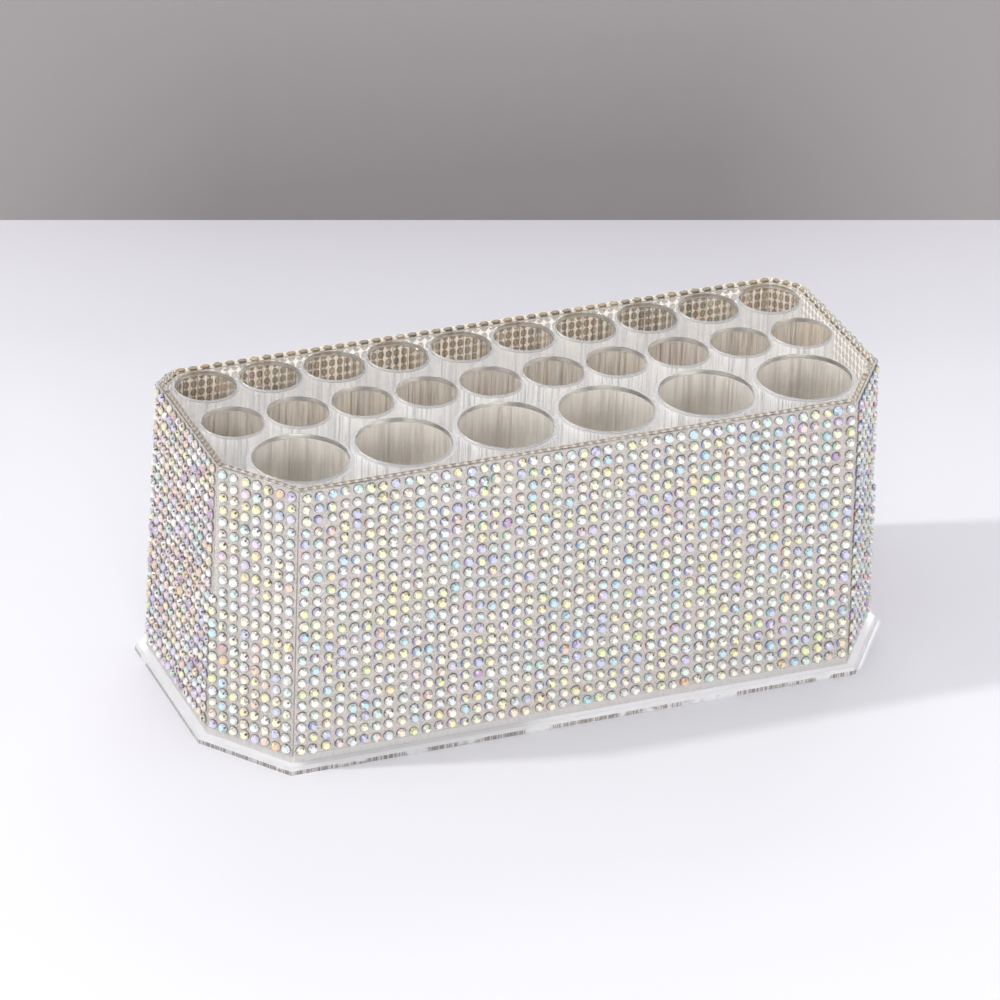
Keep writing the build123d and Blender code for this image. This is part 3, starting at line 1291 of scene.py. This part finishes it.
# The glint is a painted highlight, and the rim colour a ring of painted shade
GLINT_COLOUR = paint(252, 251, 248)
RIM_SHADE_COLOUR = paint(54, 47, 42)
CORE_IN_CROWN = 0.3
VIOLET_SHARE = 0.4
VIOLET_STRENGTH = 0.6
BITE_SHARE = 0.42
BITE_DISTANCE = 0.66
GLINTS_ABOVE = 0.55
SPOT_SHARE = 0.38
SPOT_STRETCH = 2.6  # stretches the numbers below SPOT_SHARE over all the spots' colours
NEW_DICE_SCALE = 7.31


def spread(tree, dice, low, high):
    """A random number from 0 to 1 stretched to low..high."""
    return calculate(tree, "MULTIPLY_ADD", dice, high - low, low)


def in_sizes(tree, place, x, y, size):
    """Distance from a place on the stone to the middle of a mark, in sizes of the mark."""
    distance = vector_math(tree, "DISTANCE", place, join(tree, x, y))
    return calculate(tree, "DIVIDE", distance, size)


def round_mark(tree, distance, inner, outer, present):
    """Mask of a round mark that fades from inner to outer, where present is 1."""
    return calculate(tree, "MULTIPLY", ease(tree, distance, inner, outer, 1.0, 0.0), present)


def make_stone_paint():
    tree, given, end = make_tree(
        "ShaderNodeTree", "stone paint",
        {"Place": "Vector", "Dice": "Vector", "Facet": "Float", "Cast": "Float"},
        {"Color": "Color", "Roughness": "Float"},
    )
    place = split(tree, given["Place"])
    flat = join(tree, place[0], place[1])
    dice = split(tree, given["Dice"])
    more = white_noise(tree, given["Dice"])["Color"]
    more_dice = add_node(tree, "ShaderNodeSeparateColor", {0: more}).outputs
    third = white_noise(tree, scale_vector(tree, more, NEW_DICE_SCALE))["Color"]
    third_dice = add_node(tree, "ShaderNodeSeparateColor", {0: third}).outputs
    facet_dice = white_noise(tree, join(tree, given["Facet"], dice[0], dice[1]))["Value"]

    # the core's pastel with a painted foil reflection, in a warmer painted tint on the short sides
    cool = pick_colour(tree, dice[0], TABLE_COLOURS)
    warm = pick_colour(tree, dice[0], WARM_TABLE_COLOURS)
    core = blend_colour(tree, calculate(tree, "LESS_THAN", dice[1], given["Cast"]), cool, warm)
    # crown facets: the coating's pastels and painted light and dark reflections
    crown = blend_colour(tree, CORE_IN_CROWN, pick_colour(tree, facet_dice, CROWN_COLOURS), core)
    is_violet = calculate(tree, "LESS_THAN", dice[1], VIOLET_SHARE)
    violet_share = calculate(tree, "MULTIPLY", is_violet, ease(tree, place[0], -0.3, -0.75))
    violet_share = calculate(tree, "MULTIPLY", violet_share, VIOLET_STRENGTH)
    crown = blend_colour(tree, violet_share, crown, pick_colour(tree, dice[2], EDGE_COLOURS))

    bite_turn = calculate(tree, "MULTIPLY", third_dice[0], math.tau)
    bite_x = calculate(tree, "MULTIPLY", calculate(tree, "COSINE", bite_turn), BITE_DISTANCE)
    bite_y = calculate(tree, "MULTIPLY", calculate(tree, "SINE", bite_turn), BITE_DISTANCE)
    bite_size = spread(tree, third_dice[1], 0.3, 0.52)
    has_bite = calculate(tree, "LESS_THAN", third_dice[2], BITE_SHARE)
    bite = round_mark(tree, in_sizes(tree, flat, bite_x, bite_y, bite_size), 0.85, 1.1, has_bite)
    core = blend_colour(tree, bite, core, pick_colour(tree, third_dice[1], CROWN_COLOURS))
    core_x = spread(tree, more_dice[0], 0.0, 0.22)
    core_y = spread(tree, more_dice[1], -0.2, 0.02)
    core_size = spread(tree, more_dice[2], 0.54, 0.74)
    beyond_core = ease(tree, in_sizes(tree, flat, core_x, core_y, core_size), 0.9, 1.08)
    colour = blend_colour(tree, beyond_core, core, crown)

    # a painted highlight at the upper left
    has_glint = calculate(tree, "GREATER_THAN", third_dice[0], GLINTS_ABOVE)
    glint = round_mark(tree, in_sizes(tree, flat, -0.46, 0.46, 0.24), 0.7, 1.1, has_glint)
    colour = blend_colour(tree, glint, colour, GLINT_COLOUR)
    spot_x = spread(tree, more_dice[1], 0.34, 0.62)
    spot_y = spread(tree, more_dice[2], 0.22, 0.64)
    spot_size = spread(tree, more_dice[0], 0.14, 0.24)
    has_spot = calculate(tree, "LESS_THAN", dice[2], SPOT_SHARE)
    spot = round_mark(tree, in_sizes(tree, flat, spot_x, spot_y, spot_size), 0.8, 1.15, has_spot)
    spot_dice = calculate(tree, "MULTIPLY", dice[2], SPOT_STRETCH)
    colour = blend_colour(tree, spot, colour, pick_colour(tree, spot_dice, SPOT_COLOURS))

    # a ring of painted shade at the stone's edge
    at_rim = ease(tree, vector_math(tree, "LENGTH", flat), 0.84, 0.94)
    rim_shade_share = calculate(tree, "MULTIPLY", at_rim, spread(tree, facet_dice, 0.45, 1.0))
    fill(tree, end, {
        "Color": blend_colour(tree, rim_shade_share, colour, RIM_SHADE_COLOUR),
        "Roughness": spread(tree, facet_dice, 0.06, 0.2),
    })
    return tree


stone_paint = make_stone_paint()
print("stone paint nodes:", len(stone_paint.nodes))


# %% Material of the stones
STONE_INDEX = 1.6
FILM_THICKNESS = 430
FILM_INDEX = 1.7


def make_stone_material():
    material, tree, shader, output = new_material("iridescent stones")
    sockets = {}
    for name, attribute, socket in (
        ("Place", "stone place", "Vector"),
        ("Dice", "stone dice", "Vector"),
        ("Facet", "facet", "Fac"),
        ("Cast", "stone cast", "Fac"),
    ):
        node = add_node(tree, "ShaderNodeAttribute", attribute_name=attribute)
        sockets[name] = node.outputs[socket]
    look = place_group(tree, stone_paint, sockets)
    fill(tree, shader, {
        "Base Color": look["Color"],
        "Roughness": look["Roughness"],
        "IOR": STONE_INDEX,
        "Thin Film Thickness": FILM_THICKNESS,
        "Thin Film IOR": FILM_INDEX,
    })
    return material


stone_material = make_stone_material()
print("material:", stone_material.name)

# %% Sheets of stones on the eight faces
NUDGE = (0.2 * MM, 0.3 * MM, 0.0)
COLUMN_DRIFT = {"front": 0.22 * MM, "back": 0.22 * MM, "left": 0.12 * MM, "right": 0.12 * MM}
COLUMN_SLIDE = {"front": 0.85 * MM, "back": 0.85 * MM, "left": 0.5 * MM, "right": 0.5 * MM}
SLIDE_ON_CUTS = 0.35 * MM
TILT = (math.radians(4), math.radians(4), math.radians(12))
SMALLEST_STONE = 0.91
LARGEST_STONE = 1.09
# Share of stones with the warmer painted tint, face by face
WARM_CAST = {"left": 0.85, "right": 0.85, "front_left": 0.12, "front_right": 0.4}
USUAL_CAST = 0.04
FIRST_SEED = 11
SEED_STEP = 10


def make_stones(side, seed):
    """Stones of one face, in place on their sheet."""
    sheet, grid = sheets[side], grids[side]
    mesh = run_tree(stone_tree, "stones_on_" + side, {
        "Stone": stone,
        "Columns": grid.columns,
        "Rows": grid.rows,
        "Top first": grid.top_first,
        "Top span": grid.top_span,
        "Foot first": grid.foot_first,
        "Foot span": grid.foot_span,
        "Height": grid.height,
        "Extra count": grid.extra_count,
        "Extra start": grid.extra_start,
        "Extra step": grid.extra_step,
        "Drift": COLUMN_DRIFT.get(side, 0.0),
        "Slide": COLUMN_SLIDE.get(side, SLIDE_ON_CUTS),
        "Nudge": NUDGE,
        "Tilt": TILT,
        "Smallest": SMALLEST_STONE,
        "Largest": LARGEST_STONE,
        "Cast": WARM_CAST.get(side, USUAL_CAST),
        "Seed": seed,
        "Finish": stone_material,
    })
    mesh.transform(sheet.matrix() @ Matrix.Translation((0, 0, sheet.thickness)))
    return mesh


for number, side in enumerate(SIDES):
    mesh = make_stones(side, FIRST_SEED + SEED_STEP * number)
    stones = add_piece("stones_on_" + side, mesh, stone_material)
    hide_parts("stones_" + side)

# %% [markdown]
# ## Floor and backdrop
# The holder stands on a white table in front of a plain grey wall. The wall is drawn only
# from its front, so that a view from behind isn't blocked by it.

# %% Floor and backdrop
FLOOR_DROP = 0.1 * MM
HALF_FLOOR = 6.0
WALL_HEIGHT = 0.13
WALL_POINTS = (Vector((-0.0652, 0.3562, -FLOOR_DROP)), Vector((0.2949, 0.2391, -FLOOR_DROP)))


def make_stage(name, corners, material):
    mesh = bpy.data.meshes.new(name)
    mesh.from_pydata(corners, [], [(0, 1, 2, 3)])
    mesh.materials.append(material)
    piece = bpy.data.objects.new(name, mesh)
    bpy.context.scene.collection.objects.link(piece)
    return piece


def make_floor_material():
    material, tree, shader, output = new_material("table top")
    look = {"Base Color": paint(246, 245, 250), "Roughness": 0.6, "Specular IOR Level": 0.2}
    fill(tree, shader, look)
    return material


def make_backdrop_material():
    material, tree, shader, output = new_material("grey wall")
    fill(tree, shader, {"Base Color": paint(162, 157, 156), "Roughness": 0.9})
    clear = add_node(tree, "ShaderNodeBsdfTransparent")
    behind = add_node(tree, "ShaderNodeNewGeometry").outputs["Backfacing"]
    inputs = {0: behind, 1: shader.outputs[0], 2: clear.outputs[0]}
    fill(tree, output, {"Surface": add_node(tree, "ShaderNodeMixShader", inputs).outputs[0]})
    return material


floor_signs = ((-1, -1), (1, -1), (1, 1), (-1, 1))
floor_corners = [(HALF_FLOOR * x, HALF_FLOOR * y, -FLOOR_DROP) for x, y in floor_signs]
table_top = make_stage("table_top", floor_corners, make_floor_material())

wall_left, wall_right = WALL_POINTS
reach = (wall_right - wall_left).normalized() * HALF_FLOOR
rise = Vector((0, 0, WALL_HEIGHT))
wall_feet = [wall_left - reach, wall_left + reach]
wall_corners = wall_feet + [foot + rise for foot in reversed(wall_feet)]
grey_wall = make_stage("grey_wall", wall_corners, make_backdrop_material())
print("stage:", table_top.name, grey_wall.name)

# %% [markdown]
# ## Light
# A bright room does most of the work: an even pale world. A wide window behind the holder is
# mirrored by the flat deck, which is why the deck looks white and the wells don't. One small
# lamp at the left casts the holder's shadow to the right, and a weak one lifts the front.

# %% World and lamps
WORLD_COLOUR = (0.97, 0.975, 1.0, 1)
WORLD_STRENGTH = 0.73
BOUNCES = 24
CENTRE = (cad_box[0] + cad_box[1]) / 2


def make_world():
    world = bpy.data.worlds.new("bright room")
    world.use_nodes = True
    background = world.node_tree.nodes["Background"]
    background.inputs["Color"].default_value = WORLD_COLOUR
    background.inputs["Strength"].default_value = WORLD_STRENGTH
    bpy.context.scene.world = world


def add_lamp(name, direction, distance, size, power):
    """A square soft lamp that looks at the holder from a direction."""
    place = CENTRE + Vector(direction).normalized() * distance
    data = bpy.data.lights.new(name, "AREA")
    data.size = size
    data.energy = power
    lamp = bpy.data.objects.new(name, data)
    lamp.location = place
    lamp.rotation_euler = (CENTRE - place).to_track_quat("-Z", "Y").to_euler()
    bpy.context.scene.collection.objects.link(lamp)
    print(name, "is at", [round(value, 2) for value in place])


make_world()
right, up, back = camera_axes()
mirrored = Vector((-back.x, -back.y, back.z))
add_lamp("window", mirrored, distance=2.0, size=1.5, power=9)
add_lamp("side_lamp", (-0.9, 0.22, 0.889), distance=4.0, size=0.2, power=48)
add_lamp("low_fill", (-0.35, -1.0, 0.17), distance=1.5, size=0.5, power=9)

# %% Render settings that belong to the scene
scene = bpy.context.scene
scene.view_settings.view_transform = "Standard"
scene.cycles.max_bounces = BOUNCES
scene.cycles.transmission_bounces = BOUNCES
scene.cycles.transparent_max_bounces = BOUNCES
